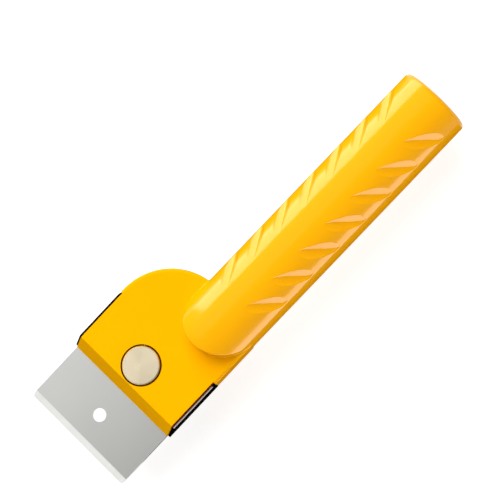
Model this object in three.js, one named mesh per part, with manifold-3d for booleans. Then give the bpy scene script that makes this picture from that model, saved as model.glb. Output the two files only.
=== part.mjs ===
// Scraper knife: a moulded handle with a flat head, and a steel blade clamped under
// the head by a pressed steel channel, one bolt and a thumb nut.
// Millimetres. X runs across the head, Y from the blade to the end of the handle, Z up.
// The pieces are placed about the bolt: its axis is x = y = 0, and the flat face of the
// head is z = 0. At the end the whole tool is set down with its lowest point on z = 0.

import * as THREE from 'three';
import { mergeVertices } from 'three/addons/utils/BufferGeometryUtils.js';
import Module from 'manifold-3d';

// Blade
const BLADE_WIDTH = 40;
const BLADE_THICKNESS = 0.8;
const BLADE_HOLE_PITCH = 20.5;
const BLADE_HOLE_MARGIN = 10.4;
const BLADE_CORNER_RADIUS = 1.0;
const BEVEL_WIDTH = 2.1;
const CUTTING_LAND = 0.1;

// Head of the moulding
const HEAD_THICKNESS = 4.8;
const HEAD_FRONT = 10.1;
const HEAD_EDGE_RADIUS = 1.2;
const CHAMFER_RUN = 3.35;
const CHAMFER_LIP = 0.4;
const SHOULDER_LAND = 0.7;

// Handle of the moulding
const HANDLE_DIAMETER = 24;
const HANDLE_LENGTH = 94.64;
const HANDLE_DROP = 2.9;
const HANDLE_CANT = THREE.MathUtils.degToRad(2.5);
const ROOT_SETBACK = 15.06;
const ROOT_BEND_RADIUS = 45;
const ROOT_WALL_INSET = 0.4;
const ROOT_WALL_FOOT = 0.5;
const END_CROWN_RADIUS = 60;
const END_EDGE_RADIUS = 1.6;

// Grip scoops, in a herringbone on the upper and lower sides of the handle
const SCOOP_START = 7.74;
const SCOOP_PITCH = 11.4;
const SCOOP_RUN = 8.6;
const SCOOP_INNER_ANGLE = THREE.MathUtils.degToRad(23);
const SCOOP_OUTER_ANGLE = THREE.MathUtils.degToRad(58);
const SCOOP_RADIUS = 3.7;
const SCOOP_DEPTH = 0.7;
const SCOOP_WALL_ANGLE = THREE.MathUtils.degToRad(27);
const SCOOP_END_MARGIN = 6;

// Steel channel that holds the blade
const SHEET_THICKNESS = 0.7;
const SIDE_CLEARANCE = 0.15;
const FLANGE_STEP = 0.8;
const FLANGE_CORNER_RADIUS = 1.5;
const HOLDER_LIP = 1.2;
const HOLDER_END_CLEARANCE = 0.2;

// Clamp bolt
const BOLT_DIAMETER = 4;
const BOLT_CLEARANCE = 0.15;
const BOLT_HEAD_DIAMETER = 12;
const BOLT_HEAD_THICKNESS = 2;
const BOLT_HEAD_PROUD = 0.5;
const BOLT_HEAD_GAP = 0.5;
const BOLT_RIM_CHAMFER = 0.3;
const BOLT_END_CHAMFER = 0.4;
const BOLT_PROJECTION = 0.4;
const NECK_WIDTH = 6;
const NECK_CLEARANCE = 0.15;
const NECK_SETBACK = 0.4;

// Spring washer and thumb nut
const WASHER_DIAMETER = 7.6;
const WASHER_THICKNESS = 0.9;
const WASHER_SPLIT = 0.6;
const WASHER_SPLIT_ANGLE = THREE.MathUtils.degToRad(30);
const NUT_DIAMETER = 15;
const NUT_HEIGHT = 4.5;
const NUT_EDGE_CHAMFER = 0.5;
const NUT_FLUTES = 30;
const FLUTE_DEPTH = 0.5;
const COLLAR_DIAMETER = 9.5;
const COLLAR_HEIGHT = 0.8;

// Fineness of the round surfaces
const ROUND_SEGMENTS = 56;
const SMALL_ROUND_SEGMENTS = 40;
const SCOOP_SEGMENTS = 20;
const ARC_DIVISIONS = 5;
const POINTS_PER_FLUTE = 4;

// A cutter reaches this far past the surface that it cuts.
const OVERCUT = 2;

// Stack along the bolt, from the face of the head downwards
const BLADE_TOP = -HEAD_THICKNESS;
const BLADE_BOTTOM = BLADE_TOP - BLADE_THICKNESS;
const HOLDER_BOTTOM = BLADE_BOTTOM - SHEET_THICKNESS;
const WASHER_BOTTOM = HOLDER_BOTTOM - WASHER_THICKNESS;
const NUT_BOTTOM = WASHER_BOTTOM - COLLAR_HEIGHT - NUT_HEIGHT;
const BOLT_END = NUT_BOTTOM - BOLT_PROJECTION;
const BOLT_HEAD_BOTTOM = BOLT_HEAD_PROUD - BOLT_HEAD_THICKNESS;

// Widths and lengths that the pieces share
const BLADE_FRONT = -(BLADE_HOLE_PITCH + BLADE_HOLE_MARGIN);
const BLADE_REAR = BLADE_HOLE_MARGIN;
const CLEARANCE_HOLE = BOLT_DIAMETER + 2 * BOLT_CLEARANCE;
const CHANNEL_INNER = BLADE_WIDTH / 2 + SIDE_CLEARANCE;
const CHANNEL_OUTER = CHANNEL_INNER + SHEET_THICKNESS;
const HOLDER_REAR = BLADE_REAR + HOLDER_LIP;
const REBATE_REAR = HOLDER_REAR + HOLDER_END_CLEARANCE;
const SHOULDER_CENTRE = REBATE_REAR + SHOULDER_LAND;
const HANDLE_RADIUS = HANDLE_DIAMETER / 2;
const ROOT_CENTRE = SHOULDER_CENTRE + ROOT_SETBACK;

const wasm = await Module();
wasm.setup();

// Closed solid of a geometry: shared corners are merged and empty triangles left out.
function solid(geometry) {
  const bare = geometry.clone();
  bare.deleteAttribute('normal');
  bare.deleteAttribute('uv');
  const merged = mergeVertices(bare);
  const corners = merged.index.array;
  const triangles = [];
  for (let i = 0; i < corners.length; i += 3) {
    const [a, b, c] = [corners[i], corners[i + 1], corners[i + 2]];
    if (a !== b && b !== c && c !== a) triangles.push(a, b, c);
  }
  return new wasm.Manifold(new wasm.Mesh({
    numProp: 3,
    vertProperties: new Float32Array(merged.attributes.position.array),
    triVerts: new Uint32Array(triangles),
  }));
}

function namedMesh(name, body, look) {
  const { vertProperties, triVerts } = body.getMesh();
  const geometry = new THREE.BufferGeometry();
  geometry.setAttribute('position', new THREE.BufferAttribute(vertProperties, 3));
  geometry.setIndex(new THREE.BufferAttribute(triVerts, 1));
  geometry.computeVertexNormals();
  const mesh = new THREE.Mesh(geometry, new THREE.MeshStandardMaterial(look));
  mesh.name = name;
  return mesh;
}

// Outline in plan, extruded from one height up to another
function upright(shape, bottom, top) {
  const options = { depth: top - bottom, bevelEnabled: false, curveSegments: 2 * ARC_DIVISIONS };
  return new THREE.ExtrudeGeometry(shape, options).translate(0, 0, bottom);
}

// Outline in the side view (its x is Y and its y is Z), extruded across the whole tool
function acrossTool(shape) {
  const width = 2 * CHANNEL_OUTER + 2 * OVERCUT;
  const options = { depth: width, bevelEnabled: false, curveSegments: 2 * ARC_DIVISIONS };
  const sideView = new THREE.Matrix4().makeBasis(
    new THREE.Vector3(0, 1, 0),
    new THREE.Vector3(0, 0, 1),
    new THREE.Vector3(1, 0, 0),
  );
  return new THREE.ExtrudeGeometry(shape, options).applyMatrix4(sideView).translate(-width / 2, 0, 0);
}

// Solid of revolution about the bolt's axis, from [radius, height] pairs, lowest first
function turned(pairs) {
  const points = pairs.map(([radius, height]) => new THREE.Vector2(radius, height));
  return new THREE.LatheGeometry(points, SMALL_ROUND_SEGMENTS).rotateX(Math.PI / 2);
}

function drill(diameter, bottom, top, y = 0) {
  const radius = diameter / 2;
  return solid(turned([[0, bottom], [radius, bottom], [radius, top], [0, top]]).translate(0, y, 0));
}

function polygon(pairs) {
  return new THREE.Shape(pairs.map(([x, y]) => new THREE.Vector2(x, y)));
}

// Wedge in front of the sloping nose of the head, lowered by a step for the flanges
function noseCutter(step) {
  const lipTop = BLADE_TOP + CHAMFER_LIP - step;
  const slope = CHAMFER_RUN / (HEAD_THICKNESS - CHAMFER_LIP);
  const farFront = -HEAD_FRONT - 2 * OVERCUT;
  const below = HOLDER_BOTTOM - OVERCUT;
  return solid(acrossTool(polygon([
    [farFront, below],
    [-HEAD_FRONT, below],
    [-HEAD_FRONT, lipTop],
    [-HEAD_FRONT + slope * (OVERCUT - lipTop), OVERCUT],
    [farFront, OVERCUT],
  ])));
}

// Flat head: straight sides, a quarter-round shoulder on the left, and a straight run on
// the right that carries on into the side of the handle
function headPlate() {
  const front = -HEAD_FRONT - OVERCUT;
  const plan = new THREE.Shape();
  plan.moveTo(-CHANNEL_OUTER, front);
  plan.lineTo(CHANNEL_OUTER, front);
  plan.lineTo(CHANNEL_OUTER, ROOT_CENTRE);
  plan.lineTo(CHANNEL_OUTER - HANDLE_RADIUS, SHOULDER_CENTRE + CHANNEL_OUTER);
  plan.absarc(0, SHOULDER_CENTRE, CHANNEL_OUTER, Math.PI / 2, Math.PI, false);
  const options = {
    depth: -HOLDER_BOTTOM - 2 * HEAD_EDGE_RADIUS,
    bevelThickness: HEAD_EDGE_RADIUS,
    bevelSize: HEAD_EDGE_RADIUS,
    bevelOffset: -HEAD_EDGE_RADIUS,
    bevelSegments: 4,
    curveSegments: 4 * ARC_DIVISIONS,
  };
  const lift = HOLDER_BOTTOM + HEAD_EDGE_RADIUS;
  return solid(new THREE.ExtrudeGeometry(plan, options).translate(0, 0, lift));
}

// From the handle's own axes (Y along it from the centre of its round root) to the tool's
function handlePlacement() {
  const place = new THREE.Matrix4().makeRotationX(-HANDLE_CANT);
  return place.setPosition(CHANNEL_OUTER - HANDLE_RADIUS, ROOT_CENTRE, -HANDLE_DROP);
}

// Round bar, in its own axes, with a ball at its root and a crowned end with a rounded edge
function plainHandle() {
  const edgeCentreRadius = HANDLE_RADIUS - END_EDGE_RADIUS;
  const crownCentre = HANDLE_LENGTH - END_CROWN_RADIUS;
  const reach = END_CROWN_RADIUS - END_EDGE_RADIUS;
  const edgeCentreHeight = crownCentre + Math.sqrt(reach ** 2 - edgeCentreRadius ** 2);
  const crownStart = Math.acos(edgeCentreRadius / reach);
  const profile = new THREE.Path();
  profile.absarc(0, 0, HANDLE_RADIUS, -Math.PI / 2, 0, false);
  profile.absarc(edgeCentreRadius, edgeCentreHeight, END_EDGE_RADIUS, 0, crownStart, false);
  profile.absarc(0, crownCentre, END_CROWN_RADIUS, crownStart, Math.PI / 2, false);
  return solid(new THREE.LatheGeometry(profile.getPoints(ARC_DIVISIONS), ROUND_SEGMENTS));
}

// Front of the handle over the head: the round bar carries on past the ball, bends down a
// little and ends in an upright wall that is round in plan
function handleRoot() {
  const profile = [new THREE.Vector2(0, -HANDLE_DIAMETER)];
  for (let i = 0; i <= ARC_DIVISIONS; i++) {
    profile.push(new THREE.Vector2(HANDLE_RADIUS, HANDLE_DIAMETER * (i / ARC_DIVISIONS - 1)));
  }
  profile.push(new THREE.Vector2(HANDLE_RADIUS, HANDLE_RADIUS), new THREE.Vector2(0, HANDLE_RADIUS));
  const bar = new THREE.LatheGeometry(profile, ROUND_SEGMENTS);
  const corners = bar.attributes.position;
  for (let i = 0; i < corners.count; i++) {
    const ahead = Math.max(0, -corners.getY(i));
    corners.setZ(i, corners.getZ(i) - ahead ** 2 / (2 * ROOT_BEND_RADIUS));
  }
  const wall = HANDLE_RADIUS - ROOT_WALL_INSET;
  const post = new THREE.CylinderGeometry(wall, wall, HANDLE_RADIUS, ROUND_SEGMENTS);
  post.rotateX(Math.PI / 2).translate(0, 0, ROOT_WALL_FOOT + HANDLE_RADIUS / 2);
  return solid(bar).intersect(solid(post));
}

// Point about the handle: angle is from its top, or from its underside when flip is -1
function aboutHandle(along, angle, radius, flip) {
  return new THREE.Vector3(radius * Math.sin(angle), along, flip * radius * Math.cos(angle));
}

// Ball-ended rod that leaves one leaf-shaped scoop: it enters the surface near the middle of
// the grip and runs deeper as it goes outwards and towards the end of the handle. From its
// deepest line it is cut away at a slant, which leaves a crease and a flat wall behind it.
function scoopCutter(along, side, flip) {
  const clear = HANDLE_RADIUS + SCOOP_RADIUS;
  const inner = aboutHandle(along, side * SCOOP_INNER_ANGLE, clear, flip);
  const outer = aboutHandle(along + SCOOP_RUN, side * SCOOP_OUTER_ANGLE, clear - SCOOP_DEPTH, flip);
  const middle = inner.clone().add(outer).multiplyScalar(0.5);
  const length = inner.distanceTo(outer);
  const rodAxis = outer.clone().sub(inner).normalize();
  const outwards = middle.clone().setY(0).projectOnPlane(rodAxis).normalize();
  const backwards = new THREE.Vector3().crossVectors(rodAxis, outwards);
  backwards.multiplyScalar(Math.sign(backwards.y));
  const wall = outwards.clone().multiplyScalar(Math.cos(SCOOP_WALL_ANGLE));
  wall.addScaledVector(backwards, -Math.sin(SCOOP_WALL_ANGLE));
  const crease = middle.clone().addScaledVector(outwards, -SCOOP_RADIUS);
  const turn = new THREE.Quaternion().setFromUnitVectors(new THREE.Vector3(0, 1, 0), rodAxis);
  const place = new THREE.Matrix4().compose(middle, turn, new THREE.Vector3(1, 1, 1));
  const rod = new THREE.CapsuleGeometry(SCOOP_RADIUS, length, ARC_DIVISIONS, SCOOP_SEGMENTS);
  return solid(rod.applyMatrix4(place))
    .trimByPlane(wall.toArray(), wall.dot(crease))
    .transform(handlePlacement().elements);
}

function gripHandle() {
  const room = HANDLE_LENGTH - SCOOP_END_MARGIN - SCOOP_START - SCOOP_RUN;
  let handle = plainHandle().add(handleRoot()).transform(handlePlacement().elements);
  for (let along = SCOOP_START; along <= SCOOP_START + room; along += SCOOP_PITCH) {
    for (const side of [-1, 1]) {
      for (const flip of [-1, 1]) {
        handle = handle.subtract(scoopCutter(along, side, flip));
      }
    }
  }
  return handle;
}

// One moulding: the head is recessed below for blade and channel, rebated along its sides
// for the flanges, sloped at the nose, and bored for the bolt
function handleBody() {
  const length = REBATE_REAR + HEAD_FRONT + 2 * OVERCUT;
  const middle = REBATE_REAR - length / 2;
  const height = HEAD_THICKNESS + BLADE_THICKNESS + SHEET_THICKNESS + 2 * OVERCUT;
  const rebateFace = CHANNEL_INNER - SIDE_CLEARANCE;
  let body = headPlate().subtract(noseCutter(0));
  const recess = new THREE.BoxGeometry(2 * CHANNEL_OUTER + 2 * OVERCUT, length, height);
  body = body.subtract(solid(recess.translate(0, middle, BLADE_TOP - height / 2)));
  const rebateWidth = CHANNEL_OUTER - rebateFace + OVERCUT;
  for (const side of [-1, 1]) {
    const rebate = new THREE.BoxGeometry(rebateWidth, length, height);
    const offset = side * (rebateFace + rebateWidth / 2);
    body = body.subtract(solid(rebate.translate(offset, middle, OVERCUT - height / 2)));
  }
  body = body.add(gripHandle());
  const neckHole = NECK_WIDTH + 2 * NECK_CLEARANCE;
  const neckCutter = new THREE.BoxGeometry(neckHole, neckHole, height);
  body = body.subtract(solid(neckCutter.translate(0, 0, BOLT_HEAD_BOTTOM - height / 2)));
  return body.subtract(drill(BOLT_HEAD_DIAMETER + 2 * BOLT_HEAD_GAP, BOLT_HEAD_BOTTOM, OVERCUT));
}

// Flat blade with two bolt holes, so that it can be turned round, and one ground edge
function blade() {
  const half = BLADE_WIDTH / 2;
  const plan = new THREE.Shape();
  plan.moveTo(half, BLADE_REAR);
  plan.lineTo(-half, BLADE_REAR);
  plan.absarc(
    -half + BLADE_CORNER_RADIUS, BLADE_FRONT + BLADE_CORNER_RADIUS, BLADE_CORNER_RADIUS,
    Math.PI, 1.5 * Math.PI, false,
  );
  plan.absarc(
    half - BLADE_CORNER_RADIUS, BLADE_FRONT + BLADE_CORNER_RADIUS, BLADE_CORNER_RADIUS,
    1.5 * Math.PI, 2 * Math.PI, false,
  );
  const land = BLADE_BOTTOM + CUTTING_LAND;
  const slope = (BLADE_TOP - land) / BEVEL_WIDTH;
  const bevel = acrossTool(polygon([
    [BLADE_FRONT - OVERCUT, land - slope * OVERCUT],
    [BLADE_FRONT + BEVEL_WIDTH + OVERCUT, BLADE_TOP + slope * OVERCUT],
    [BLADE_FRONT - OVERCUT, BLADE_TOP + slope * OVERCUT],
  ]));
  let body = solid(upright(plan, BLADE_BOTTOM, BLADE_TOP)).subtract(solid(bevel));
  for (const y of [0, -BLADE_HOLE_PITCH]) {
    body = body.subtract(drill(CLEARANCE_HOLE, BLADE_BOTTOM - OVERCUT, BLADE_TOP + OVERCUT, y));
  }
  return body;
}

// Channel folded from one sheet. The inside of each fold is as tight as the blade's side
// clearance allows, and the flanges follow the nose of the head and have round rear corners.
function bladeHolder() {
  const fold = SIDE_CLEARANCE + SHEET_THICKNESS;
  const top = -FLANGE_STEP;
  const foldX = CHANNEL_OUTER - fold;
  const foldZ = HOLDER_BOTTOM + fold;
  const section = new THREE.Shape();
  section.moveTo(-CHANNEL_OUTER, top);
  section.absarc(-foldX, foldZ, fold, Math.PI, 1.5 * Math.PI, false);
  section.absarc(foldX, foldZ, fold, 1.5 * Math.PI, 2 * Math.PI, false);
  section.lineTo(CHANNEL_OUTER, top);
  section.lineTo(CHANNEL_INNER, top);
  section.absarc(foldX, foldZ, SIDE_CLEARANCE, 2 * Math.PI, 1.5 * Math.PI, true);
  section.absarc(-foldX, foldZ, SIDE_CLEARANCE, 1.5 * Math.PI, Math.PI, true);
  section.lineTo(-CHANNEL_INNER, top);
  const options = { depth: HOLDER_REAR + HEAD_FRONT, bevelEnabled: false, curveSegments: ARC_DIVISIONS };
  const channel = new THREE.ExtrudeGeometry(section, options).rotateX(Math.PI / 2);
  const corner = new THREE.Shape();
  corner.moveTo(HOLDER_REAR - FLANGE_CORNER_RADIUS, top + OVERCUT);
  corner.absarc(
    HOLDER_REAR - FLANGE_CORNER_RADIUS, top - FLANGE_CORNER_RADIUS, FLANGE_CORNER_RADIUS,
    Math.PI / 2, 0, true,
  );
  corner.lineTo(HOLDER_REAR + OVERCUT, top - FLANGE_CORNER_RADIUS);
  corner.lineTo(HOLDER_REAR + OVERCUT, top + OVERCUT);
  return solid(channel.translate(0, HOLDER_REAR, 0))
    .subtract(noseCutter(FLANGE_STEP))
    .subtract(solid(acrossTool(corner)))
    .subtract(drill(CLEARANCE_HOLE, HOLDER_BOTTOM - OVERCUT, BLADE_BOTTOM + OVERCUT));
}

// Round flat head, square neck that stops it turning in the head, and plain shank
function clampBolt() {
  const shank = BOLT_DIAMETER / 2;
  const head = BOLT_HEAD_DIAMETER / 2;
  const turnedBolt = solid(turned([
    [0, BOLT_END],
    [shank - BOLT_END_CHAMFER, BOLT_END],
    [shank, BOLT_END + BOLT_END_CHAMFER],
    [shank, BOLT_HEAD_BOTTOM],
    [head, BOLT_HEAD_BOTTOM],
    [head, BOLT_HEAD_PROUD - BOLT_RIM_CHAMFER],
    [head - BOLT_RIM_CHAMFER, BOLT_HEAD_PROUD],
    [0, BOLT_HEAD_PROUD],
  ]));
  const neckTop = BOLT_HEAD_BOTTOM + BOLT_HEAD_THICKNESS / 2;
  const neckBottom = BLADE_TOP + NECK_SETBACK;
  const neck = new THREE.BoxGeometry(NECK_WIDTH, NECK_WIDTH, neckTop - neckBottom);
  return turnedBolt.add(solid(neck.translate(0, 0, (neckTop + neckBottom) / 2)));
}

// Flat ring with one slanting split
function springWasher() {
  const [inner, outer] = [CLEARANCE_HOLE / 2, WASHER_DIAMETER / 2];
  const ring = turned([
    [inner, WASHER_BOTTOM],
    [outer, WASHER_BOTTOM],
    [outer, HOLDER_BOTTOM],
    [inner, HOLDER_BOTTOM],
    [inner, WASHER_BOTTOM],
  ]);
  const split = new THREE.BoxGeometry(outer, WASHER_SPLIT, 2 * WASHER_THICKNESS + 2 * OVERCUT);
  split.rotateX(WASHER_SPLIT_ANGLE);
  split.translate(inner + outer / 2 - BOLT_CLEARANCE, 0, (WASHER_BOTTOM + HOLDER_BOTTOM) / 2);
  return solid(ring).subtract(solid(split));
}

// Thumb nut: a fluted grip below a plain collar that bears on the washer
function clampNut() {
  const points = [];
  const count = NUT_FLUTES * POINTS_PER_FLUTE;
  for (let i = 0; i < count; i += 1) {
    const angle = (2 * Math.PI * i) / count;
    const radius = NUT_DIAMETER / 2 - FLUTE_DEPTH * (0.5 - 0.5 * Math.cos(NUT_FLUTES * angle));
    points.push(new THREE.Vector2(radius * Math.cos(angle), radius * Math.sin(angle)));
  }
  const options = {
    depth: NUT_HEIGHT - 2 * NUT_EDGE_CHAMFER,
    bevelThickness: NUT_EDGE_CHAMFER,
    bevelSize: NUT_EDGE_CHAMFER,
    bevelOffset: -NUT_EDGE_CHAMFER,
    bevelSegments: 1,
  };
  const grip = new THREE.ExtrudeGeometry(new THREE.Shape(points), options);
  const collarBottom = WASHER_BOTTOM - COLLAR_HEIGHT - NUT_HEIGHT / 2;
  return solid(grip.translate(0, 0, NUT_BOTTOM + NUT_EDGE_CHAMFER))
    .add(drill(COLLAR_DIAMETER, collarBottom, WASHER_BOTTOM))
    .subtract(drill(CLEARANCE_HOLE, BOLT_END - OVERCUT, WASHER_BOTTOM + OVERCUT));
}

const tool = new THREE.Group();
tool.add(
  namedMesh('handle_body', handleBody(), { color: 0xffc000, roughness: 0.3, metalness: 0 }),
  namedMesh('blade', blade(), { color: 0xc8c8c6, roughness: 0.35, metalness: 1 }),
  namedMesh('blade_holder', bladeHolder(), { color: 0x4a4846, roughness: 0.25, metalness: 1 }),
  namedMesh('clamp_bolt', clampBolt(), { color: 0xe6d7b5, roughness: 0.3, metalness: 1 }),
  namedMesh('spring_washer', springWasher(), { color: 0x8f8d89, roughness: 0.4, metalness: 1 }),
  namedMesh('clamp_nut', clampNut(), { color: 0xd8ccb0, roughness: 0.3, metalness: 1 }),
);

// Set the tool down: the middle of its length and width over the origin, lowest point at 0.
const bounds = new THREE.Box3().setFromObject(tool, true);
const centre = bounds.getCenter(new THREE.Vector3());
tool.position.set(-centre.x, -centre.y, -bounds.min.z);

export default tool;
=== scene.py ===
# %% [markdown]
# # A scraper knife
# The tool is a yellow moulding with a fat grip, a steel blade under its flat head, a folded
# steel channel that covers the blade, and one bolt with a thumb nut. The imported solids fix
# where everything goes. Each step below makes one piece finer than its solid, in the same
# place, and gives it the finish of the real material.

# %% Load the solids
import math

import bpy
from mathutils import Matrix, Vector


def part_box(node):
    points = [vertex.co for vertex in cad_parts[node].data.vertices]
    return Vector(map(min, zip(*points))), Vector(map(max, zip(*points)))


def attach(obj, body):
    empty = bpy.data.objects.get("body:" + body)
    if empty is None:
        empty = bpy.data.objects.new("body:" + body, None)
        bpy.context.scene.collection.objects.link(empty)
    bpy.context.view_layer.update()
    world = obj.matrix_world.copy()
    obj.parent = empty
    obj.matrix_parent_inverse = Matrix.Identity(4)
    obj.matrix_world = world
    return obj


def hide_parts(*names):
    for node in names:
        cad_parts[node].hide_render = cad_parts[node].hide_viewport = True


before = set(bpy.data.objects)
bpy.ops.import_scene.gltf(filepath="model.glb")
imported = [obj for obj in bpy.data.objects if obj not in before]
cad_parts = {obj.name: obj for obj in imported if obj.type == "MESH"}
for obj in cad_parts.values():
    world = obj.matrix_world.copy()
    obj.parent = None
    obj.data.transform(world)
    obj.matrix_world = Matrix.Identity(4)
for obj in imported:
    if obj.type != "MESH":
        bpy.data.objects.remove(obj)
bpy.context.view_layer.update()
MM = 0.001
WELD = 1e-7
print("solids:", sorted(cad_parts))

# %% [markdown]
# ## One place to measure from
# On the real tool everything is set out from the bolt: the head's face lies around it and
# the blade hangs on it. So lengths here are millimetres from the bolt's axis and from the
# flat face of the head, and one helper turns them into the frame's metres.

# %% Measure from the bolt
BOLT_LOW, BOLT_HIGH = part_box("clamp_bolt")
BOLT_HEAD_PROUD = 0.5
AXIS_Y = (BOLT_LOW.y + BOLT_HIGH.y) / 2
FACE_Z = BOLT_HIGH.z - BOLT_HEAD_PROUD * MM


def at(x, y, z):
    return Vector((x * MM, AXIS_Y + y * MM, FACE_Z + z * MM))


print("bolt axis at y =", round(AXIS_Y / MM, 3), "mm, head face at z =", round(FACE_Z / MM, 3), "mm")

# %% [markdown]
# ## Camera
# The tool is seen almost from straight above by a long lens, turned so that the grip runs to
# the upper right. The three turns and the distance come from matching the blade's corners,
# the bolt and the sides of the grip with one camera.

# %% Camera
TURN_X, TURN_Y, TURN_Z = 0.047, -0.228, -0.764
CAMERA_FROM_BOLT = Vector((33.32, 35.31, 795.6))
SENSOR_WIDTH, LENS = 36, 187.2

look = Matrix.Rotation(TURN_Z, 3, "Z") @ Matrix.Rotation(TURN_Y, 3, "Y") @ Matrix.Rotation(TURN_X, 3, "X")
look.transpose()
bpy.ops.object.camera_add()
camera = bpy.context.object
camera.name = "camera"
camera.matrix_world = Matrix.Translation(at(*(look @ CAMERA_FROM_BOLT))) @ look.to_4x4()
camera.data.sensor_width = SENSOR_WIDTH
camera.data.lens = LENS
camera.data.clip_start = 0.01
bpy.context.scene.camera = camera
print("camera", round((camera.location - at(0, 0, 0)).length / MM), "mm from the bolt")

# %% [markdown]
# ## Floor
# The tool lies on plain white, so the floor is a pale sheet that keeps a faint shadow and
# glows just enough to look white to the camera and in reflections. It lies low, to leave room
# for the nut and the channel when the blade is freed. A thick slab would hide the underside,
# so it is a thin sheet that is clear from below.

# %% Floor
FLOOR_Z, FLOOR_SIZE = -0.0085, 8
PAPER_GREY, PAPER_GLOW = 0.5, 0.76


def clear_selection():
    if bpy.context.mode != "OBJECT":
        bpy.ops.object.mode_set(mode="OBJECT")
    bpy.ops.object.select_all(action="DESELECT")


clear_selection()
bpy.ops.mesh.primitive_plane_add(size=FLOOR_SIZE, location=(0, 0, FLOOR_Z))
floor = bpy.context.object
floor.name = "floor"

paper = bpy.data.materials.new("white_paper")
paper.use_nodes = True
nodes, links = paper.node_tree.nodes, paper.node_tree.links
sheet = nodes["Principled BSDF"]
sheet.inputs["Base Color"].default_value = (PAPER_GREY, PAPER_GREY, PAPER_GREY, 1)
sheet.inputs["Roughness"].default_value = 0.9
sheet.inputs["Emission Color"].default_value = (1, 1, 1, 1)
rays = nodes.new("ShaderNodeLightPath")
seen = rays.outputs["Is Camera Ray"]
for kind in ("Is Glossy Ray", "Is Transmission Ray"):
    either = nodes.new("ShaderNodeMath")
    either.operation = "MAXIMUM"
    links.new(seen, either.inputs[0])
    links.new(rays.outputs[kind], either.inputs[1])
    seen = either.outputs[0]
glow = nodes.new("ShaderNodeMath")
glow.operation = "MULTIPLY"
glow.inputs[1].default_value = PAPER_GLOW
links.new(seen, glow.inputs[0])
links.new(glow.outputs[0], sheet.inputs["Emission Strength"])
below = nodes.new("ShaderNodeNewGeometry")
clear = nodes.new("ShaderNodeBsdfTransparent")
one_sided = nodes.new("ShaderNodeMixShader")
links.new(below.outputs["Backfacing"], one_sided.inputs["Fac"])
links.new(sheet.outputs["BSDF"], one_sided.inputs[1])
links.new(clear.outputs["BSDF"], one_sided.inputs[2])
links.new(one_sided.outputs["Shader"], nodes["Material Output"].inputs["Surface"])
floor.data.materials.append(paper)
print("floor at", FLOOR_Z / MM, "mm")

# %% [markdown]
# ## Light
# Two wide panels and the world give the plain, even light. They are hidden from reflections,
# so that the highlights can be set on their own: a tall panel on the left draws the long
# streak on the grip, a card low on the right draws the strokes in its scoops, and two cards
# shine on the metal alone. Black flags, which only reflections show, keep the white floor out
# of the sides of the grip and the nose.

# %% Light panels


def panel(name, centre, aim, size, radiance, colour=(1, 1, 1), shines=True, fills=True, pieces=None):
    """A soft panel of a given brightness, turned to face a point, for all pieces or for some."""
    clear_selection()
    bpy.ops.object.light_add(type="AREA", location=centre)
    lamp = bpy.context.object
    lamp.name = name
    lamp.rotation_euler = (Vector(aim) - Vector(centre)).to_track_quat("-Z", "Y").to_euler()
    lamp.data.shape = "RECTANGLE"
    lamp.data.size, lamp.data.size_y = size
    lamp.data.energy = radiance * math.pi * size[0] * size[1]
    lamp.data.color = colour
    lamp.visible_camera = False
    lamp.visible_glossy = shines
    lamp.visible_diffuse = fills
    lamp.light_linking.receiver_collection = pieces


TOOL_MIDDLE = Vector((0.009, 0.02, 0.016))
CARD_Z = FLOOR_Z + 0.0005
WARM_WHITE = (1, 0.85, 0.72)
STREAK_CENTRE, STROKE_CENTRE = Vector((-0.34, 0.195, 0.15)), Vector((0.13, -0.05, CARD_Z))
steel_pieces = bpy.data.collections.new("steel_pieces")
glossy_pieces = bpy.data.collections.new("glossy_pieces")

panel("key_panel", (-0.4, 0.1, 0.58), TOOL_MIDDLE, (0.8, 1.0), 3.3, shines=False)
panel("right_panel", (0.6, 0.05, 0.08), TOOL_MIDDLE, (0.7, 0.3), 3.5, WARM_WHITE, shines=False)
panel("steel_card", (-0.48, -0.09, 0.6), at(0, -20, 0), (0.5, 0.8), 1.2, fills=False, pieces=steel_pieces)
panel("edge_card", (-0.14, -0.44, 0.45), at(0, -30, 0), (0.3, 0.2), 1.2, fills=False, pieces=steel_pieces)
panel("left_panel", STREAK_CENTRE, STREAK_CENTRE + Vector((0.34, 0, 0)), (0.505, 0.3), 9.5, WARM_WHITE,
      fills=False, pieces=glossy_pieces)
panel("right_card", STROKE_CENTRE, STROKE_CENTRE + Vector((0, 0, 1 - CARD_Z)), (0.14, 0.24), 6, WARM_WHITE,
      fills=False, pieces=glossy_pieces)

# %% Flags and world
black_card = bpy.data.materials.new("black_card")
black_card.use_nodes = True
black_card.node_tree.nodes["Principled BSDF"].inputs["Base Color"].default_value = (0.01, 0.01, 0.01, 1)
black_card.node_tree.nodes["Principled BSDF"].inputs["Roughness"].default_value = 0.9


def flag(name, low, high):
    """A black card on the floor that only reflections show."""
    clear_selection()
    middle = [(a + b) / 2 for a, b in zip(low, high)]
    bpy.ops.mesh.primitive_plane_add(size=1, location=(*middle, CARD_Z))
    card = bpy.context.object
    card.name = name
    card.scale = (high[0] - low[0], high[1] - low[1], 1)
    bpy.ops.object.transform_apply(location=True, scale=True)
    for ray in ("camera", "diffuse", "transmission", "shadow"):
        setattr(card, "visible_" + ray, False)
    card.data.materials.append(black_card)


flag("left_flag", (-0.118, -0.03), (-0.015, 0.078))
flag("right_flag", (0.022, -0.07), (0.056, 0.078))
flag("nose_flag", (-0.06, -0.15), (-0.0205, -0.06))

world = bpy.data.worlds.new("studio")
bpy.context.scene.world = world
world.use_nodes = True
world.node_tree.nodes["Background"].inputs["Color"].default_value = (1, 1, 0.97, 1)
world.node_tree.nodes["Background"].inputs["Strength"].default_value = 0.24
bpy.context.scene.view_settings.view_transform = "Standard"
print("world:", world.name)

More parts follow.
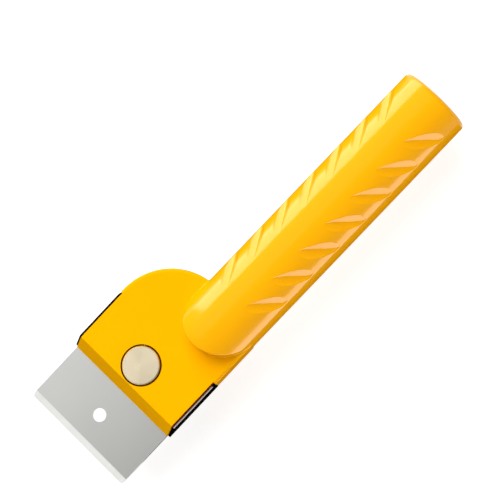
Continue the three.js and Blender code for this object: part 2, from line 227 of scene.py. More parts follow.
# %% [markdown]
# ## Drawing a profile
# Most turned pieces start as a line that is then spun round an axis. By hand you would pull
# one corner out point by point, and this helper does just that: a small plane is merged to
# one corner, which is extruded along the points.

# %% Profile helper


def draw_profile(name, points):
    clear_selection()
    bpy.ops.mesh.primitive_plane_add(size=MM, location=points[0])
    piece = bpy.context.object
    piece.name = name
    bpy.ops.object.transform_apply(location=True)
    bpy.ops.object.mode_set(mode="EDIT")
    bpy.ops.mesh.select_mode(type="VERT")
    bpy.ops.mesh.select_all(action="SELECT")
    bpy.ops.mesh.merge(type="CENTER")
    for here, there in zip(points, points[1:]):
        bpy.ops.mesh.extrude_vertices_move(TRANSFORM_OT_translate={"value": there - here})
    return piece


def close_up():
    """Merge what meets, point the faces outwards and leave edit mode."""
    bpy.ops.mesh.select_all(action="SELECT")
    bpy.ops.mesh.remove_doubles(threshold=1e-6)
    bpy.ops.mesh.normals_make_consistent(inside=False)
    bpy.ops.object.mode_set(mode="OBJECT")


def arc(centre_u, centre_v, radius, start, end, steps):
    """Points of an arc in a flat drawing, angles in degrees."""
    angles = [math.radians(start + (end - start) * i / steps) for i in range(steps + 1)]
    return [(centre_u + radius * math.cos(a), centre_v + radius * math.sin(a)) for a in angles]


def add_modifier(piece, kind, **settings):
    """Add one modifier, set it and apply it."""
    clear_selection()
    piece.select_set(True)
    bpy.context.view_layer.objects.active = piece
    modifier = piece.modifiers.new(kind.lower(), kind)
    for key, value in settings.items():
        setattr(modifier, key, value)
    bpy.ops.object.modifier_apply(modifier=modifier.name)
    return piece


def join(name, pieces):
    clear_selection()
    for piece in pieces:
        piece.select_set(True)
    bpy.context.view_layer.objects.active = pieces[0]
    bpy.ops.object.join()
    pieces[0].name = name
    return pieces[0]


def cut_away(piece, cutter):
    add_modifier(piece, "BOOLEAN", operation="DIFFERENCE", solver="MANIFOLD", object=cutter)
    bpy.data.objects.remove(cutter, do_unlink=True)


# %% [markdown]
# ## Grip
# The grip is a round bar with a ball at its root and a crowned end, tipped down a little. A
# cylinder with bevels would do, but the crown needs a curve, so its profile is spun.

# %% Spin the grip
GRIP_RADIUS, GRIP_LENGTH, GRIP_CANT = 11.955, 94.61, 2.5
ROOT_X, ROOT_Y, ROOT_Z = 8.85, 27.56, -2.9
END_EDGE_RADIUS, END_CROWN_RADIUS = 1.6, 60
GRIP_STEPS = 240

grip_tip = Matrix.Rotation(-math.radians(GRIP_CANT), 4, "X")
grip_place = Matrix.Translation(at(ROOT_X, ROOT_Y, ROOT_Z)) @ grip_tip

edge_radius = GRIP_RADIUS - END_EDGE_RADIUS
crown_centre = GRIP_LENGTH - END_CROWN_RADIUS
edge_along = crown_centre + math.sqrt((END_CROWN_RADIUS - END_EDGE_RADIUS) ** 2 - edge_radius ** 2)
crown_start = math.degrees(math.acos(edge_radius / (END_CROWN_RADIUS - END_EDGE_RADIUS)))
outline = (arc(0, 0, GRIP_RADIUS, -90, 0, 36)
           + arc(edge_radius, edge_along, END_EDGE_RADIUS, 0, crown_start, 8)
           + arc(0, crown_centre, END_CROWN_RADIUS, crown_start, 90, 8)[1:])
grip = draw_profile("grip", [grip_place @ Vector((r * MM, along * MM, 0)) for r, along in outline])
bpy.ops.mesh.select_all(action="SELECT")
bpy.ops.mesh.spin(steps=GRIP_STEPS, angle=2 * math.pi, center=grip_place.translation,
                  axis=grip_place.to_3x3() @ Vector((0, 1, 0)))
close_up()
print("grip:", len(grip.data.polygons), "faces")

# %% [markdown]
# ## Scoops in the grip
# The leaf-shaped hollows are what a ball-ended cutter leaves when it runs across the bar at a
# slant: shallow where it enters, deeper on its way out, with a flat wall on the side towards
# the end. One cutter is shaped from a ball, and copies of it are set along both sides. They
# wait until the moulding is in one piece, so that the creases come out crisp.

# %% Shape one cutter
SCOOP_START, SCOOP_PITCH, SCOOP_COUNT = 7.74, 11.4, 7
SCOOP_RUN, SCOOP_RADIUS, SCOOP_DEPTH = 8.6, 3.7, 0.7
SCOOP_INNER, SCOOP_OUTER, SCOOP_WALL = 23, 58, 27


def about_grip(along, angle, radius):
    turn = math.radians(angle)
    return Vector((radius * math.sin(turn), along, radius * math.cos(turn))) * MM


inner = about_grip(SCOOP_START, SCOOP_INNER, GRIP_RADIUS + SCOOP_RADIUS)
outer = about_grip(SCOOP_START + SCOOP_RUN, SCOOP_OUTER, GRIP_RADIUS + SCOOP_RADIUS - SCOOP_DEPTH)
middle = (inner + outer) / 2
rod_axis = (outer - inner).normalized()
outwards = Vector((middle.x, 0, middle.z))
outwards = (outwards - outwards.dot(rod_axis) * rod_axis).normalized()
backwards = rod_axis.cross(outwards)
backwards *= math.copysign(1, backwards.y)

clear_selection()
bpy.ops.mesh.primitive_uv_sphere_add(segments=96, ring_count=49, radius=SCOOP_RADIUS * MM)
cutter = bpy.context.object
for corner in cutter.data.vertices:
    corner.co.z += math.copysign((outer - inner).length / 2, corner.co.z)
cutter.matrix_world = Matrix.Translation(middle) @ rod_axis.to_track_quat("Z", "Y").to_matrix().to_4x4()
bpy.ops.object.transform_apply(location=True, rotation=True)
wall_tilt = math.radians(SCOOP_WALL)
wall = math.cos(wall_tilt) * outwards - math.sin(wall_tilt) * backwards
bpy.ops.object.mode_set(mode="EDIT")
bpy.ops.mesh.select_all(action="SELECT")
bpy.ops.mesh.bisect(plane_co=middle - outwards * SCOOP_RADIUS * MM, plane_no=wall,
                    use_fill=True, clear_inner=True, threshold=WELD)
close_up()
print("cutter:", len(cutter.data.polygons), "faces")

# %% Set out the cutters
copies = []
for step in range(SCOOP_COUNT):
    for side in (-1, 1):
        for top in (-1, 1):
            copy = bpy.data.objects.new("scoop", cutter.data.copy())
            bpy.context.collection.objects.link(copy)
            slide = Matrix.Translation((0, step * SCOOP_PITCH * MM, 0))
            copy.data.transform(grip_place @ slide @ Matrix.Diagonal((side, 1, top, 1)))
            copies.append(copy)
bpy.data.objects.remove(cutter, do_unlink=True)
scoops = join("scoops", copies)
bpy.ops.object.mode_set(mode="EDIT")
close_up()
print("cutters:", len(copies), "with", len(scoops.data.polygons), "faces")

# %% [markdown]
# ## Root of the grip
# Over the head the grip does not end in a ball. Its top carries on, dips a little and stops
# at an upright wall that is round in plan. So a second bar is spun, its front rings are moved
# down along a curve, and only what lies inside an upright post is kept.

# %% Bend and trim the root
ROOT_BEND_RADIUS, ROOT_WALL_RADIUS, ROOT_WALL_FOOT = 45, 11.6, 0.5
ROOT_FRONT, ROOT_OVERLAP = -18, 6
bar = [(0, ROOT_FRONT), *[(GRIP_RADIUS, along) for along in range(ROOT_FRONT, 1)],
       (GRIP_RADIUS, ROOT_OVERLAP), (0, ROOT_OVERLAP)]
root = draw_profile("root", [Vector((r, along, 0)) * MM for r, along in bar])
bpy.ops.mesh.select_all(action="SELECT")
bpy.ops.mesh.spin(steps=GRIP_STEPS, angle=2 * math.pi, center=(0, 0, 0), axis=(0, 1, 0))
close_up()
for corner in root.data.vertices:
    corner.co.z -= min(corner.co.y, 0) ** 2 / (2 * ROOT_BEND_RADIUS * MM)
clear_selection()
bpy.ops.mesh.primitive_cylinder_add(vertices=GRIP_STEPS, radius=ROOT_WALL_RADIUS * MM, depth=GRIP_RADIUS * MM,
                                    location=(0, 0, (ROOT_WALL_FOOT + GRIP_RADIUS / 2) * MM))
post = bpy.context.object
bpy.ops.object.transform_apply(location=True)
add_modifier(root, "BOOLEAN", operation="INTERSECT", solver="MANIFOLD", object=post)
bpy.data.objects.remove(post, do_unlink=True)
root.data.transform(grip_place)
print("root:", len(root.data.polygons), "faces")

# %% [markdown]
# ## Head of the moulding
# The head is a flat plate with straight sides, a quarter-round shoulder on one side and a
# run into the grip on the other. Its outline is drawn, filled and pulled up, and its rim is
# bevelled round. The nose and the seats for blade, channel and bolt are cut later, so that
# those edges stay crisp.

# %% Draw and bevel the head
HEAD_HALF, HEAD_FRONT, SHOULDER_Y = 20.85, 10.1, 12.5
HOLDER_BOTTOM, HEAD_EDGE_RADIUS = -6.3, 1.2
OVERCUT = 2

rim = [(-HEAD_HALF, -HEAD_FRONT - OVERCUT), (HEAD_HALF, -HEAD_FRONT - OVERCUT),
       (HEAD_HALF, ROOT_Y), (ROOT_X, SHOULDER_Y + HEAD_HALF)]
rim += arc(0, SHOULDER_Y, HEAD_HALF, 90, 180, 48)
head = draw_profile("head", [at(x, y, HOLDER_BOTTOM) for x, y in rim])
bpy.ops.mesh.select_all(action="SELECT")
bpy.ops.mesh.edge_face_add()
bpy.ops.mesh.extrude_region_move(TRANSFORM_OT_translate={"value": (0, 0, -HOLDER_BOTTOM * MM)})
close_up()


def select_edges(piece, wanted):
    """Edit mode with just the edges selected whose two ends pass a test."""
    clear_selection()
    piece.select_set(True)
    bpy.context.view_layer.objects.active = piece
    bpy.ops.object.mode_set(mode="EDIT")
    bpy.ops.mesh.select_mode(type="EDGE")
    bpy.ops.mesh.select_all(action="DESELECT")
    bpy.ops.object.mode_set(mode="OBJECT")
    corners = piece.data.vertices
    for edge in piece.data.edges:
        edge.select = wanted(corners[edge.vertices[0]].co, corners[edge.vertices[1]].co)
    bpy.ops.object.mode_set(mode="EDIT")


select_edges(head, lambda a, b: abs(a.z - b.z) < 1e-6)
bpy.ops.mesh.bevel(offset=HEAD_EDGE_RADIUS * MM, segments=8, profile=0.5)
close_up()
print("head:", len(head.data.polygons), "faces")

# %% [markdown]
# ## One moulding
# On the real tool grip and head leave the mould as one piece, with every inside corner
# slightly rounded. A plain join would leave hard seams, so a voxel remesh fuses the shapes, a
# light smoothing rounds the corners, and thinning takes away faces where the surface is flat.
# The scoops are cut after that, because smoothing would blur their creases.

# %% Fuse and smooth the moulding
VOXEL, SMOOTH_PASSES, MOST_TRIANGLES = 0.25, 3, 130000
moulding = join("moulding", [grip, root, head])
add_modifier(moulding, "REMESH", mode="VOXEL", voxel_size=VOXEL * MM, use_smooth_shade=True)
print("fused:", len(moulding.data.polygons), "faces")
add_modifier(moulding, "SMOOTH", factor=0.5, iterations=SMOOTH_PASSES)


def count_triangles(piece):
    return sum(len(face.vertices) - 2 for face in piece.data.polygons)


add_modifier(moulding, "DECIMATE", ratio=min(1, MOST_TRIANGLES / count_triangles(moulding)))
print("thinned:", len(moulding.data.polygons), "faces")
cut_away(moulding, scoops)
print("scooped:", len(moulding.data.polygons), "faces")

# %% [markdown]
# ## Seats and nose
# Blade and channel lie in a recess under the head, the channel's flanges in rebates along
# its sides, and the nose slopes back from the blade. These are plain flat cuts, so blocks are
# taken away after the smoothing and the edges come out sharp. The far walls of the scoops are
# flat too, so they are shaded flat and the rest smooth.

# %% Cut the seats
HEAD_THICKNESS, CHAMFER_RUN, CHAMFER_LIP = 4.8, 3.35, 0.4
REBATE_REAR, REBATE_FACE, NECK_HOLE = 11.8, 20, 6.3
BOLT_HEAD_BOTTOM, BOLT_SEAT_RADIUS, SEAT_CUT, NECK_OVERLAP = -1.5, 6.5, 4, 0.5
SHADE_ANGLE, SAME_WAY = 22, 0.9995


def block(name, low, high):
    clear_selection()
    low, high = at(*low), at(*high)
    bpy.ops.mesh.primitive_cube_add(size=1, location=(low + high) / 2, scale=high - low)
    bpy.context.object.name = name
    bpy.ops.object.transform_apply(location=True, rotation=True, scale=True)
    return bpy.context.object


front = -HEAD_FRONT - 2 * OVERCUT
beyond, under = HEAD_HALF + OVERCUT, HOLDER_BOTTOM - OVERCUT
cut_away(moulding, block("recess", (-beyond, front, under), (beyond, REBATE_REAR, -HEAD_THICKNESS)))
for side in (-1, 1):
    near, far = sorted((side * REBATE_FACE, side * beyond))
    cut_away(moulding, block("rebate", (near, front, under), (far, REBATE_REAR, OVERCUT)))

nose = block("nose", (-beyond, front, under), (beyond, 0, OVERCUT))
slope = math.atan2(CHAMFER_RUN, HEAD_THICKNESS - CHAMFER_LIP)
bpy.ops.object.mode_set(mode="EDIT")
bpy.ops.mesh.select_all(action="SELECT")
bpy.ops.mesh.bisect(plane_co=at(0, -HEAD_FRONT, CHAMFER_LIP - HEAD_THICKNESS),
                    plane_no=(0, math.cos(slope), -math.sin(slope)),
                    use_fill=True, clear_outer=True, threshold=WELD)
close_up()
cut_away(moulding, nose)

clear_selection()
bpy.ops.mesh.primitive_cylinder_add(vertices=128, radius=BOLT_SEAT_RADIUS * MM, depth=SEAT_CUT * MM,
                                    location=at(0, 0, BOLT_HEAD_BOTTOM + SEAT_CUT / 2))
seat = bpy.context.object
bpy.ops.object.transform_apply(location=True)
cut_away(moulding, seat)
neck = NECK_HOLE / 2
neck_top = BOLT_HEAD_BOTTOM + NECK_OVERLAP
cut_away(moulding, block("neck_hole", (-neck, -neck, HOLDER_BOTTOM), (neck, neck, neck_top)))
print("seated:", len(moulding.data.polygons), "faces")

# %% Shade the moulding
clear_selection()
moulding.select_set(True)
bpy.context.view_layer.objects.active = moulding
bpy.ops.object.shade_smooth_by_angle(angle=math.radians(SHADE_ANGLE))
grip_turn = grip_place.to_3x3()
far_walls = [grip_turn @ Vector((side * wall.x, wall.y, top * wall.z))
             for side in (-1, 1) for top in (-1, 1)]
for face in moulding.data.polygons:
    if any(face.normal.dot(normal) > SAME_WAY for normal in far_walls):
        face.use_smooth = False
glossy_pieces.objects.link(moulding)
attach(moulding, "handle")
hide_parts("handle_body")
print("moulding:", count_triangles(moulding), "triangles")

# %% [markdown]
# ## Yellow plastic
# A glossy moulded plastic is not quite even: the skin has a faint orange-peel, and its gloss
# varies a little. Two soft noises give that, one in the bump and one in the roughness. Painted
# shade darkens the gap round the bolt head and the gaps beside the flanges, where shadow falls.
# The flat faces of the head look matt, as an etched mould leaves them, so they get a copy of
# the finish with hardly any shine.

# %% Helpers for finishes


def new_finish(name, colour, metallic, roughness):
    """A material with its shader, its links and the object's own coordinates."""
    finish = bpy.data.materials.new(name)
    finish.use_nodes = True
    tree = finish.node_tree
    shader = tree.nodes["Principled BSDF"]
    shader.inputs["Base Color"].default_value = (*colour, 1)
    shader.inputs["Metallic"].default_value = metallic
    shader.inputs["Roughness"].default_value = roughness
    coordinates = tree.nodes.new("ShaderNodeTexCoord")
    return finish, tree, shader, coordinates.outputs["Object"]


def noise(tree, vector, scale, detail=2, stretch=(1, 1, 1)):
    mapping = tree.nodes.new("ShaderNodeMapping")
    mapping.inputs["Scale"].default_value = stretch
    tree.links.new(vector, mapping.inputs["Vector"])
    grain = tree.nodes.new("ShaderNodeTexNoise")
    grain.inputs["Scale"].default_value = scale
    grain.inputs["Detail"].default_value = detail
    tree.links.new(mapping.outputs["Vector"], grain.inputs["Vector"])
    return grain.outputs["Fac"]


def between(tree, value, low, high):
    spread = tree.nodes.new("ShaderNodeMapRange")
    spread.inputs["To Min"].default_value = low
    spread.inputs["To Max"].default_value = high
    tree.links.new(value, spread.inputs["Value"])
    return spread.outputs["Result"]


def tint(tree, value, dark, light):
    mix = tree.nodes.new("ShaderNodeMix")
    mix.data_type = "RGBA"
    mix.inputs["A"].default_value = (*dark, 1)
    mix.inputs["B"].default_value = (*light, 1)
    tree.links.new(value, mix.inputs["Factor"])
    return mix.outputs["Result"]


def bump(tree, value, depth_mm, strength=1):
    relief = tree.nodes.new("ShaderNodeBump")
    relief.inputs["Strength"].default_value = strength
    relief.inputs["Distance"].default_value = depth_mm * MM
    tree.links.new(value, relief.inputs["Height"])
    return relief.outputs["Normal"]


def compute(tree, operation, first, second):
    """A Math node for a socket and a number, or for two sockets."""
    node = tree.nodes.new("ShaderNodeMath")
    node.operation = operation
    tree.links.new(first, node.inputs[0])
    if isinstance(second, (int, float)):
        node.inputs[1].default_value = second
    else:
        tree.links.new(second, node.inputs[1])
    return node.outputs[0]


def multiply_colours(tree, first, second):
    mix = tree.nodes.new("ShaderNodeMix")
    mix.data_type = "RGBA"
    mix.blend_type = "MULTIPLY"
    mix.inputs["Factor"].default_value = 1
    tree.links.new(first, mix.inputs["A"])
    tree.links.new(second, mix.inputs["B"])
    return mix.outputs["Result"]


def give_finish(piece, *finishes):
    """Clear what the cuts left in the material list, and start all faces on the first finish."""
    piece.data.materials.clear()
    for finish in finishes:
        piece.data.materials.append(finish)
    for face in piece.data.polygons:
        face.material_index = 0


# %% Yellow plastic
# Painted shade: these colours darken the bolt seat and the rebates, where shadow falls in those gaps.
SEAT_PAINTED_SHADE, REBATE_PAINTED_SHADE = (0.1, 0.06, 0.03), (0.3, 0.1, 0.05)
REBATE_SHADE_DEPTH, REBATE_SHADE_EDGE = -1.2, 0.05
UNSHADED = (1, 1, 1)
yellow, tree, shader, place = new_finish("yellow_plastic", (1.0, 0.46, 0.0), 0, 0.25)
shader.inputs["IOR"].default_value = 1.3
body_colour = tint(tree, noise(tree, place, 90), (0.98, 0.45, 0.0), (1.0, 0.47, 0.0))

# Mask for the painted shade in the bolt seat: points near the floor of the seat.
from_axis = tree.nodes.new("ShaderNodeVectorMath")
from_axis.operation = "DISTANCE"
from_axis.inputs[1].default_value = at(0, 0, BOLT_HEAD_BOTTOM)
tree.links.new(place, from_axis.inputs[0])
seat_reach = math.hypot(BOLT_SEAT_RADIUS, BOLT_HEAD_BOTTOM) * MM
in_seat = compute(tree, "LESS_THAN", from_axis.outputs["Value"], seat_reach)

# Mask for the painted shade on the rebate faces beside the flanges, near their top.
along = tree.nodes.new("ShaderNodeSeparateXYZ")
tree.links.new(place, along.inputs["Vector"])
square = compute(tree, "POWER", along.outputs["X"], 2)
aside = compute(tree, "GREATER_THAN", square, ((REBATE_FACE - REBATE_SHADE_EDGE) * MM) ** 2)
ahead = compute(tree, "LESS_THAN", along.outputs["Y"], at(0, REBATE_REAR - REBATE_SHADE_EDGE, 0).y)
at_top = compute(tree, "GREATER_THAN", along.outputs["Z"], at(0, 0, REBATE_SHADE_DEPTH).z)
in_rebate = compute(tree, "MULTIPLY", compute(tree, "MULTIPLY", aside, ahead), at_top)

# The painted shade is multiplied into the body colour, dark in the bolt seat and in the rebates.
painted_shade_colour = multiply_colours(tree, body_colour, tint(tree, in_seat, UNSHADED, SEAT_PAINTED_SHADE))
painted_shade_colour = multiply_colours(tree, painted_shade_colour, tint(tree, in_rebate, UNSHADED, REBATE_PAINTED_SHADE))
tree.links.new(painted_shade_colour, shader.inputs["Base Color"])
tree.links.new(between(tree, noise(tree, place, 400), 0.11, 0.15), shader.inputs["Roughness"])
tree.links.new(bump(tree, noise(tree, place, 700), 0.01, 0.3), shader.inputs["Normal"])
print("finish:", yellow.name)

# %% Matt faces of the head
MATT_REAR, MATT_TOP, MATT_BOTTOM, MATT_LEAN = 45, 0.1, -5.5, 0.45
matt = yellow.copy()
matt.name = "etched_yellow"
skin = matt.node_tree.nodes["Principled BSDF"]
matt.node_tree.links.remove(skin.inputs["Roughness"].links[0])
skin.inputs["Roughness"].default_value = 0.5
skin.inputs["Specular IOR Level"].default_value = 0.02
give_finish(moulding, yellow, matt)
head_top, head_bottom = at(0, MATT_REAR, MATT_TOP), at(0, MATT_REAR, MATT_BOTTOM)
for face in moulding.data.polygons:
    on_head = face.center.y < head_top.y and head_bottom.z < face.center.z < head_top.z
    if on_head and abs(face.normal.z) > MATT_LEAN:
        face.material_index = 1
matt_faces = sum(face.material_index for face in moulding.data.polygons)
print("finishes:", yellow.name, "and", matt.name, "on", matt_faces, "faces")

# %% [markdown]
# ## Blade
# The blade is a strip of flat steel with two bolt holes, two round front corners and one
# ground edge. A thin block gets its corners bevelled, one slanting cut makes the ground
# edge, and a hair of bevel all round catches the light as real edges do.

# %% Shape the blade
BLADE_HALF, BLADE_FRONT, BLADE_REAR = 20, -30.9, 10.4
BLADE_TOP, BLADE_BOTTOM = -4.8, -5.6
CORNER_RADIUS, GROUND_WIDTH, EDGE_LAND = 1.0, 2.1, 0.1
HOLE_RADIUS, HOLE_PITCH = 2.15, 20.5


def drill(y, radius, low, high):
    clear_selection()
    bpy.ops.mesh.primitive_cylinder_add(vertices=96, radius=radius * MM, depth=(high - low) * MM,
                                        location=at(0, y, (low + high) / 2))
    bpy.ops.object.transform_apply(location=True)
    return bpy.context.object


def soften(piece, width, angle=30):
    """A fine bevel on every edge sharper than the angle, shaded so that flats stay flat."""
    add_modifier(piece, "BEVEL", width=width * MM, segments=2, limit_method="ANGLE",
                 angle_limit=math.radians(angle))
    bpy.ops.object.shade_smooth_by_angle(angle=math.radians(angle))
    add_modifier(piece, "WEIGHTED_NORMAL", keep_sharp=True)


blade = block("blade_strip", (-BLADE_HALF, BLADE_FRONT, BLADE_BOTTOM), (BLADE_HALF, BLADE_REAR, BLADE_TOP))
front_y = at(0, BLADE_FRONT, 0).y
select_edges(blade, lambda a, b: abs(a.z - b.z) > 1e-4 and abs(a.y - front_y) < 1e-6)
bpy.ops.mesh.bevel(offset=CORNER_RADIUS * MM, segments=10)
bpy.ops.mesh.select_all(action="SELECT")
bpy.ops.mesh.bisect(plane_co=at(0, BLADE_FRONT, BLADE_BOTTOM + EDGE_LAND),
                    plane_no=Vector((0, BLADE_BOTTOM + EDGE_LAND - BLADE_TOP, GROUND_WIDTH)).normalized(),
                    use_fill=True, clear_outer=True, threshold=WELD)
close_up()
for y in (0, -HOLE_PITCH):
    cut_away(blade, drill(y, HOLE_RADIUS, BLADE_BOTTOM - 1, BLADE_TOP + 1))
soften(blade, width=0.05, angle=12)
steel_pieces.objects.link(blade)
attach(blade, "blade")
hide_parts("blade")
print("blade:", len(blade.data.polygons), "faces")

# %% [markdown]
# ## Blade steel
# Rolled steel is satin with faint streaks along the rolling. The ground edge is brighter,
# with fine scratches square to it, so its faces get a finish of their own.

# %% Blade steel
steel, tree, shader, place = new_finish("blade_steel", (0.61, 0.61, 0.595), 1, 0.34)
streaks = noise(tree, place, 2400, 2, (0.03, 1, 1))
tree.links.new(between(tree, streaks, 0.27, 0.3), shader.inputs["Roughness"])
rolled_colour = tint(tree, noise(tree, place, 60), (0.595, 0.595, 0.58), (0.625, 0.625, 0.61))
tree.links.new(rolled_colour, shader.inputs["Base Color"])
tree.links.new(bump(tree, streaks, 0.0002, 0.15), shader.inputs["Normal"])

ground, tree, shader, place = new_finish("ground_edge", (0.88, 0.88, 0.86), 1, 0.28)
scratches = noise(tree, place, 2500, 2, (1, 0.04, 0.04))
tree.links.new(between(tree, scratches, 0.25, 0.36), shader.inputs["Roughness"])
tree.links.new(bump(tree, scratches, 0.0005, 0.3), shader.inputs["Normal"])
give_finish(blade, steel, ground)
for face in blade.data.polygons:
    if face.normal.y < -0.2 and face.normal.z > 0.5 and face.area > 1e-6:
        face.material_index = 1
print("finishes:", steel.name, ground.name)

# %% [markdown]
# ## Channel that holds the blade
# The holder is folded from one sheet. The way to model a fold is the way it is made: the
# line of the sheet's middle is drawn with its two bends, pulled out to its length, and given
# its thickness. Then the rear corners of the flanges are rounded, their fronts are cut back
# along the nose, and their tops are cut at a slight slant inwards, as a shear leaves them.

# %% Fold the channel
SHEET, FOLD_RADIUS, FLANGE_TOP, HOLDER_REAR = 0.7, 0.5, -0.8, 11.6
SHEAR_SLANT, REAR_CORNER = math.radians(13), 1.5
sheet_x = HEAD_HALF - SHEET / 2
sheet_z = HOLDER_BOTTOM + SHEET / 2
bend_x, bend_z = sheet_x - FOLD_RADIUS, sheet_z + FOLD_RADIUS
section = ([(-sheet_x, FLANGE_TOP)] + arc(-bend_x, bend_z, FOLD_RADIUS, 180, 270, 8)
           + arc(bend_x, bend_z, FOLD_RADIUS, 270, 360, 8) + [(sheet_x, FLANGE_TOP)])
holder = draw_profile("holder_channel", [at(x, HOLDER_REAR, z) for x, z in section])
bpy.ops.mesh.select_all(action="SELECT")
bpy.ops.mesh.extrude_region_move(TRANSFORM_OT_translate={"value": (0, -(HOLDER_REAR + HEAD_FRONT) * MM, 0)})
close_up()
add_modifier(holder, "SOLIDIFY", thickness=SHEET * MM, offset=0, use_even_offset=True)
rear_y, top_z = at(0, HOLDER_REAR, 0).y, at(0, 0, FLANGE_TOP).z
select_edges(holder, lambda a, b: all(abs(c.y - rear_y) < 1e-6 and abs(c.z - top_z) < 1e-6 for c in (a, b)))
bpy.ops.mesh.bevel(offset=REAR_CORNER * MM, segments=8)
bpy.ops.mesh.select_all(action="SELECT")
bpy.ops.mesh.bisect(plane_co=at(0, -HEAD_FRONT, CHAMFER_LIP - HEAD_THICKNESS + FLANGE_TOP),
                    plane_no=(0, -math.cos(slope), math.sin(slope)),
                    use_fill=True, clear_outer=True, threshold=WELD)
close_up()
for side in (-1, 1):
    select_edges(holder, lambda a, b: side * a.x > 0 and side * b.x > 0)
    bpy.ops.mesh.bisect(plane_co=at(side * HEAD_HALF, 0, FLANGE_TOP),
                        plane_no=(-side * math.sin(SHEAR_SLANT), 0, math.cos(SHEAR_SLANT)),
                        use_fill=True, clear_outer=True, threshold=WELD)
    close_up()
cut_away(holder, drill(0, HOLE_RADIUS, HOLDER_BOTTOM - 1, BLADE_BOTTOM + 1))
soften(holder, width=0.09)
steel_pieces.objects.link(holder)
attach(holder, "holder")
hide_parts("blade_holder")
print("holder:", len(holder.data.polygons), "faces")

# %% [markdown]
# ## Dark sheet steel
# The channel has a dark, nearly polished finish that is a little cloudy, as oiled steel is.
# The top of the right flange is a lighter grey: a painted highlight, where that top catches the light.

# %% Dark sheet steel
dark, tree, shader, place = new_finish("dark_sheet_steel", (0.026, 0.022, 0.02), 1, 0.25)
shader.inputs["Specular Tint"].default_value = (0.15, 0.13, 0.12, 1)
tree.links.new(between(tree, noise(tree, place, 250, 4), 0.16, 0.3), shader.inputs["Roughness"])
cloudy_colour = tint(tree, noise(tree, place, 120, 4), (0.02, 0.017, 0.015), (0.032, 0.027, 0.025))
tree.links.new(cloudy_colour, shader.inputs["Base Color"])

# Painted highlight: a lighter grey finish on the top of the right flange only.
flange_highlight, tree, shader, place = new_finish("painted_flange_highlight", (0.52, 0.49, 0.46), 1, 0.3)
tree.links.new(between(tree, noise(tree, place, 900, 4), 0.22, 0.36), shader.inputs["Roughness"])
give_finish(holder, dark, flange_highlight)
blade_top = at(0, 0, BLADE_TOP).z
for face in holder.data.polygons:
    if face.center.x > 0 and face.center.z > blade_top and face.normal.z > 0.9:
        face.material_index = 1
print("finishes:", dark.name, flange_highlight.name)

# %% [markdown]
# ## Clamp bolt
# The bolt is turned, apart from the square neck under its head, so one profile is spun. The
# thread is cut as rings into the profile: at 0.7 mm a turn its slant can't be seen.

# %% Turn the bolt
HEAD_RADIUS, RIM_CHAMFER, BOLT_END = 6, 0.3, -12.9
SHANK_RADIUS, THREAD_DEPTH, THREAD_PITCH = 2, 0.3, 0.7
NECK_HALF, NECK_TOP, NECK_BOTTOM = 3, -1, -4.4
LEAD_IN = 0.4


def spin_round_bolt(name, pairs, steps=128):
    """Spin [radius, height] pairs round the bolt's axis."""
    piece = draw_profile(name, [at(radius, 0, height) for radius, height in pairs])
    bpy.ops.mesh.select_all(action="SELECT")
    bpy.ops.mesh.spin(steps=steps, angle=2 * math.pi, center=at(0, 0, 0), axis=(0, 0, 1))
    close_up()
    return piece


pairs = [(0, BOLT_HEAD_PROUD), (HEAD_RADIUS - RIM_CHAMFER, BOLT_HEAD_PROUD),
         (HEAD_RADIUS, BOLT_HEAD_PROUD - RIM_CHAMFER), (HEAD_RADIUS, BOLT_HEAD_BOTTOM),
         (SHANK_RADIUS, BOLT_HEAD_BOTTOM), (SHANK_RADIUS, BLADE_BOTTOM)]
height = BLADE_BOTTOM
while height - THREAD_PITCH > BOLT_END + LEAD_IN:
    pairs += [(SHANK_RADIUS - THREAD_DEPTH, height - THREAD_PITCH / 2), (SHANK_RADIUS, height - THREAD_PITCH)]
    height -= THREAD_PITCH
pairs += [(SHANK_RADIUS, BOLT_END + LEAD_IN), (SHANK_RADIUS - LEAD_IN, BOLT_END), (0, BOLT_END)]
bolt = spin_round_bolt("turned_bolt", pairs)
neck = block("neck", (-NECK_HALF, -NECK_HALF, NECK_BOTTOM), (NECK_HALF, NECK_HALF, NECK_TOP))
add_modifier(bolt, "BOOLEAN", operation="UNION", solver="MANIFOLD", object=neck)
bpy.data.objects.remove(neck, do_unlink=True)
soften(bolt, width=0.05, angle=25)
steel_pieces.objects.link(bolt)
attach(bolt, "handle")
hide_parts("clamp_bolt")
print("bolt:", len(bolt.data.polygons), "faces")

# %% [markdown]
# ## Spring washer
# The washer is a ring of square wire with one slanting split, which lets it spring. A torus
# would have a round section, so a square is spun and a tilted block cuts the split.

# %% Split the washer
WASHER_RADIUS, WASHER_BOTTOM, SPLIT, SPLIT_ANGLE = 3.8, -7.2, 0.6, 30
washer = spin_round_bolt("split_washer", [(HOLE_RADIUS, WASHER_BOTTOM), (WASHER_RADIUS, WASHER_BOTTOM),
                                          (WASHER_RADIUS, HOLDER_BOTTOM), (HOLE_RADIUS, HOLDER_BOTTOM),
                                          (HOLE_RADIUS, WASHER_BOTTOM)])
split = block("split", (0, -SPLIT / 2, WASHER_BOTTOM - OVERCUT),
              (WASHER_RADIUS + 1, SPLIT / 2, HOLDER_BOTTOM + OVERCUT))
bpy.ops.object.mode_set(mode="EDIT")
bpy.ops.mesh.select_all(action="SELECT")
bpy.ops.transform.rotate(value=math.radians(SPLIT_ANGLE), orient_axis="X",
                         center_override=at(0, 0, (WASHER_BOTTOM + HOLDER_BOTTOM) / 2))
close_up()
cut_away(washer, split)
soften(washer, width=0.06)
steel_pieces.objects.link(washer)
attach(washer, "holder")
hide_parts("spring_washer")
print("washer:", len(washer.data.polygons), "faces")

# %% [markdown]
# ## Thumb nut
# A turned disc with a collar, and flutes round its rim for the fingers. One flute cutter is
# made and copied round, and all of them are taken away at once.

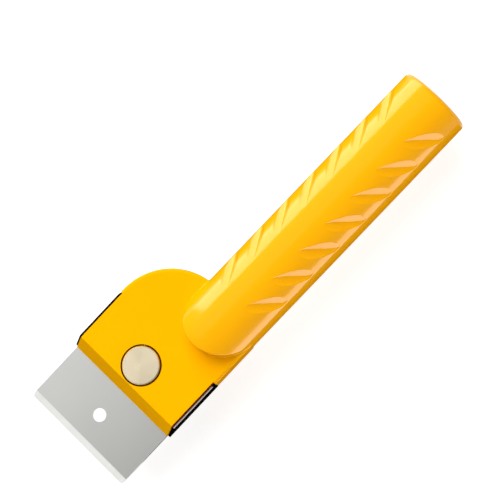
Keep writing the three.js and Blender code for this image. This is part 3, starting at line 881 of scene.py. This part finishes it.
# %% Flute the nut
NUT_RADIUS, NUT_BOTTOM, NUT_TOP, NUT_CHAMFER = 7.5, -12.5, -8, 0.5
COLLAR_RADIUS, FLUTES, FLUTE_RADIUS, FLUTE_DEPTH = 4.75, 30, 0.7, 0.5
rim_radius = NUT_RADIUS - NUT_CHAMFER
nut = spin_round_bolt("fluted_nut", [
    (HOLE_RADIUS, NUT_BOTTOM + LEAD_IN), (HOLE_RADIUS + LEAD_IN, NUT_BOTTOM), (rim_radius, NUT_BOTTOM),
    (NUT_RADIUS, NUT_BOTTOM + NUT_CHAMFER), (NUT_RADIUS, NUT_TOP - NUT_CHAMFER), (rim_radius, NUT_TOP),
    (COLLAR_RADIUS, NUT_TOP), (COLLAR_RADIUS, WASHER_BOTTOM), (HOLE_RADIUS, WASHER_BOTTOM),
    (HOLE_RADIUS, NUT_BOTTOM + LEAD_IN)], steps=240)
reach = NUT_RADIUS - FLUTE_DEPTH + FLUTE_RADIUS
flute_length = NUT_TOP - NUT_BOTTOM + OVERCUT
copies = []
for step in range(FLUTES):
    turn = 2 * math.pi * (step + 0.5) / FLUTES
    middle = at(reach * math.cos(turn), reach * math.sin(turn), (NUT_TOP + NUT_BOTTOM) / 2)
    clear_selection()
    bpy.ops.mesh.primitive_cylinder_add(vertices=24, radius=FLUTE_RADIUS * MM, depth=flute_length * MM,
                                        location=middle)
    bpy.ops.object.transform_apply(location=True)
    copies.append(bpy.context.object)
cut_away(nut, join("flutes", copies))
soften(nut, width=0.07)
steel_pieces.objects.link(nut)
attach(nut, "nut")
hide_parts("clamp_nut")
print("nut:", len(nut.data.polygons), "faces")

# %% [markdown]
# ## Turned nickel and spring steel
# A lathe leaves fine rings round the axis. They spread the light across themselves, so a
# turned face shows a bright fan that turns with the light. Rings in the bump give the lines
# and the shader's anisotropy, laid round the axis, gives the fan.

# %% Turned nickel
nickel, tree, shader, place = new_finish("turned_nickel", (0.92, 0.8, 0.57), 1, 0.3)
centre = tree.nodes.new("ShaderNodeMapping")
centre.inputs["Location"].default_value = (0, -AXIS_Y, 0)
tree.links.new(place, centre.inputs["Vector"])
rings = tree.nodes.new("ShaderNodeTexWave")
rings.wave_type = "RINGS"
rings.rings_direction = "Z"
rings.inputs["Scale"].default_value = 2200
rings.inputs["Distortion"].default_value = 1.5
rings.inputs["Detail"].default_value = 2
tree.links.new(centre.outputs["Vector"], rings.inputs["Vector"])
tree.links.new(bump(tree, rings.outputs["Fac"], 0.004, 0.3), shader.inputs["Normal"])
tree.links.new(between(tree, noise(tree, place, 400), 0.24, 0.36), shader.inputs["Roughness"])
tangent = tree.nodes.new("ShaderNodeTangent")
tangent.direction_type = "RADIAL"
tangent.axis = "Z"
tree.links.new(tangent.outputs["Tangent"], shader.inputs["Tangent"])
shader.inputs["Anisotropic"].default_value = 0.7
give_finish(bolt, nickel)
give_finish(nut, nickel)

spring, tree, shader, place = new_finish("spring_steel", (0.42, 0.42, 0.4), 1, 0.35)
tree.links.new(between(tree, noise(tree, place, 900, 3), 0.28, 0.44), shader.inputs["Roughness"])
give_finish(washer, spring)
print("finishes:", nickel.name, spring.name)
